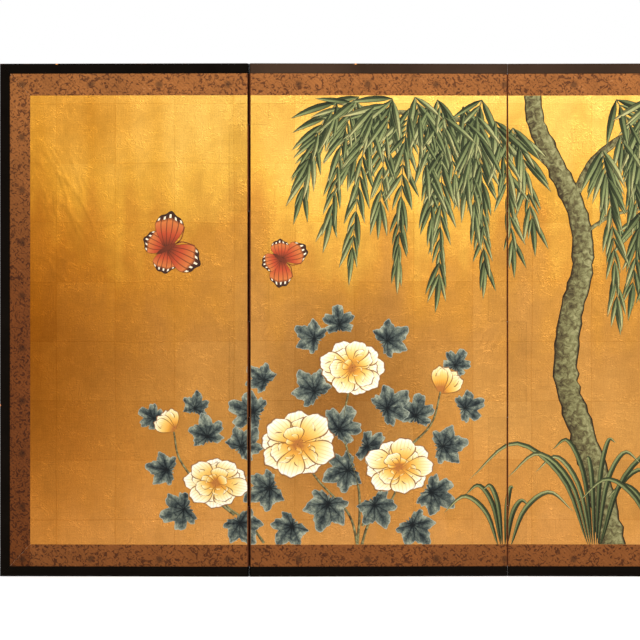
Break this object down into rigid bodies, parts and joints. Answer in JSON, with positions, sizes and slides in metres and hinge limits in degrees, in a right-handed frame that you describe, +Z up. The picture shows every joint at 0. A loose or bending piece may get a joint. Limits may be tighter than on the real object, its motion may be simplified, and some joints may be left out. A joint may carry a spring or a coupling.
{
  "type": "folding screen",
  "caption": "Free-standing folding screen: paper-covered lattice panels with a gold picture face, brocade border and black lacquered frame, joined by crossed paper hinges that fold both ways.",
  "frame": {"origin": "middle of the screen at the floor: centre of the bottom of its bounding box as it stands in its shallow zigzag", "axes": "+X along the screen to the right seen from its painted front, the front faces -Y, +Z up"},
  "size_m": [1.8108, 0.0588, 0.9144],
  "materials": {
    "black_lacquer": "black lacquer on wood, polished and slightly worn",
    "brocade": "figured silk brocade, russet",
    "gold_leafed_silk": "square gold leaves on silk, toned",
    "printed_back_paper": "block-printed paper, matt",
    "hinge_paper": "layered mulberry paper dyed brown",
    "lining_paper": "layered mulberry paper",
    "core_cedar": "planed cedar",
    "bamboo": "split bamboo"
  },
  "bodies": {
    "panel_1": {"panel_1_back_cover": "printed_back_paper", "panel_1_back_lining": "lining_paper", "panel_1_bottom_rail": "black_lacquer", "panel_1_brocade_border": "brocade", "panel_1_core_frame": "core_cedar", "panel_1_end_stile": "black_lacquer", "panel_1_frame_pegs": "bamboo", "panel_1_front_lining": "lining_paper", "panel_1_hinge_leaves": "hinge_paper", "panel_1_lattice_crossbars": "core_cedar", "panel_1_lattice_uprights": "core_cedar", "panel_1_picture_sheet": "gold_leafed_silk", "panel_1_top_rail": "black_lacquer"},
    "panel_2": {"panel_2_back_cover": "printed_back_paper", "panel_2_back_lining": "lining_paper", "panel_2_bottom_rail": "black_lacquer", "panel_2_brocade_border": "brocade", "panel_2_core_frame": "core_cedar", "panel_2_frame_pegs": "bamboo", "panel_2_front_lining": "lining_paper", "panel_2_hinge_leaves": "hinge_paper", "panel_2_lattice_crossbars": "core_cedar", "panel_2_lattice_uprights": "core_cedar", "panel_2_picture_sheet": "gold_leafed_silk", "panel_2_top_rail": "black_lacquer"},
    "panel_3": {"panel_3_back_cover": "printed_back_paper", "panel_3_back_lining": "lining_paper", "panel_3_bottom_rail": "black_lacquer", "panel_3_brocade_border": "brocade", "panel_3_core_frame": "core_cedar", "panel_3_frame_pegs": "bamboo", "panel_3_front_lining": "lining_paper", "panel_3_hinge_leaves": "hinge_paper", "panel_3_lattice_crossbars": "core_cedar", "panel_3_lattice_uprights": "core_cedar", "panel_3_picture_sheet": "gold_leafed_silk", "panel_3_top_rail": "black_lacquer"},
    "panel_4": {"panel_4_back_cover": "printed_back_paper", "panel_4_back_lining": "lining_paper", "panel_4_bottom_rail": "black_lacquer", "panel_4_brocade_border": "brocade", "panel_4_core_frame": "core_cedar", "panel_4_end_stile": "black_lacquer", "panel_4_frame_pegs": "bamboo", "panel_4_front_lining": "lining_paper", "panel_4_hinge_leaves": "hinge_paper", "panel_4_lattice_crossbars": "core_cedar", "panel_4_lattice_uprights": "core_cedar", "panel_4_picture_sheet": "gold_leafed_silk", "panel_4_top_rail": "black_lacquer"},
    "seam_1_strips_from_front": {"seam_1_strips_from_front": "hinge_paper"},
    "seam_1_strips_from_back": {"seam_1_strips_from_back": "hinge_paper"},
    "seam_2_strips_from_back": {"seam_2_strips_from_back": "hinge_paper"},
    "seam_2_strips_from_front": {"seam_2_strips_from_front": "hinge_paper"},
    "seam_3_strips_from_front": {"seam_3_strips_from_front": "hinge_paper"},
    "seam_3_strips_from_back": {"seam_3_strips_from_back": "hinge_paper"}
  },
  "joints": [
    {"name": "seam_1_fold_front", "type": "hinge", "parent": "panel_2", "child": "seam_1_strips_from_front", "pos_m": [-0.45905, -0.02969, 0], "axis": [0, 0, -1], "range_deg": [-180, 0]},
    {"name": "seam_1_fold_back", "type": "hinge", "parent": "seam_1_strips_from_front", "child": "panel_1", "pos_m": [-0.46073, -0.01047, 0], "axis": [0, 0, -1], "range_deg": [-10, 170]},
    {"name": "seam_1_strip_turn", "type": "hinge", "parent": "panel_2", "child": "seam_1_strips_from_back", "pos_m": [-0.46073, -0.01047, 0], "axis": [0, 0, -1], "range_deg": [-10, 170]},
    {"name": "seam_2_fold_back", "type": "hinge", "parent": "panel_2", "child": "seam_2_strips_from_back", "pos_m": [-0.00168, 0.02969, 0], "axis": [0, 0, -1], "range_deg": [-180, 0]},
    {"name": "seam_2_fold_front", "type": "hinge", "parent": "seam_2_strips_from_back", "child": "panel_3", "pos_m": [0, 0.01047, 0], "axis": [0, 0, -1], "range_deg": [-10, 170]},
    {"name": "seam_2_strip_turn", "type": "hinge", "parent": "panel_2", "child": "seam_2_strips_from_front", "pos_m": [0, 0.01047, 0], "axis": [0, 0, -1], "range_deg": [-10, 170]},
    {"name": "seam_3_fold_front", "type": "hinge", "parent": "panel_3", "child": "seam_3_strips_from_front", "pos_m": [0.45905, -0.02969, 0], "axis": [0, 0, 1], "range_deg": [-180, 0]},
    {"name": "seam_3_fold_back", "type": "hinge", "parent": "seam_3_strips_from_front", "child": "panel_4", "pos_m": [0.46073, -0.01047, 0], "axis": [0, 0, 1], "range_deg": [-10, 170]},
    {"name": "seam_3_strip_turn", "type": "hinge", "parent": "panel_3", "child": "seam_3_strips_from_back", "pos_m": [0.46073, -0.01047, 0], "axis": [0, 0, 1], "range_deg": [-10, 170]}
  ],
  "couplings": [
    {"joint": "seam_1_strip_turn", "follows": "seam_1_fold_back", "ratio": 1},
    {"joint": "seam_2_strip_turn", "follows": "seam_2_fold_front", "ratio": 1},
    {"joint": "seam_3_strip_turn", "follows": "seam_3_fold_back", "ratio": 1}
  ]
}
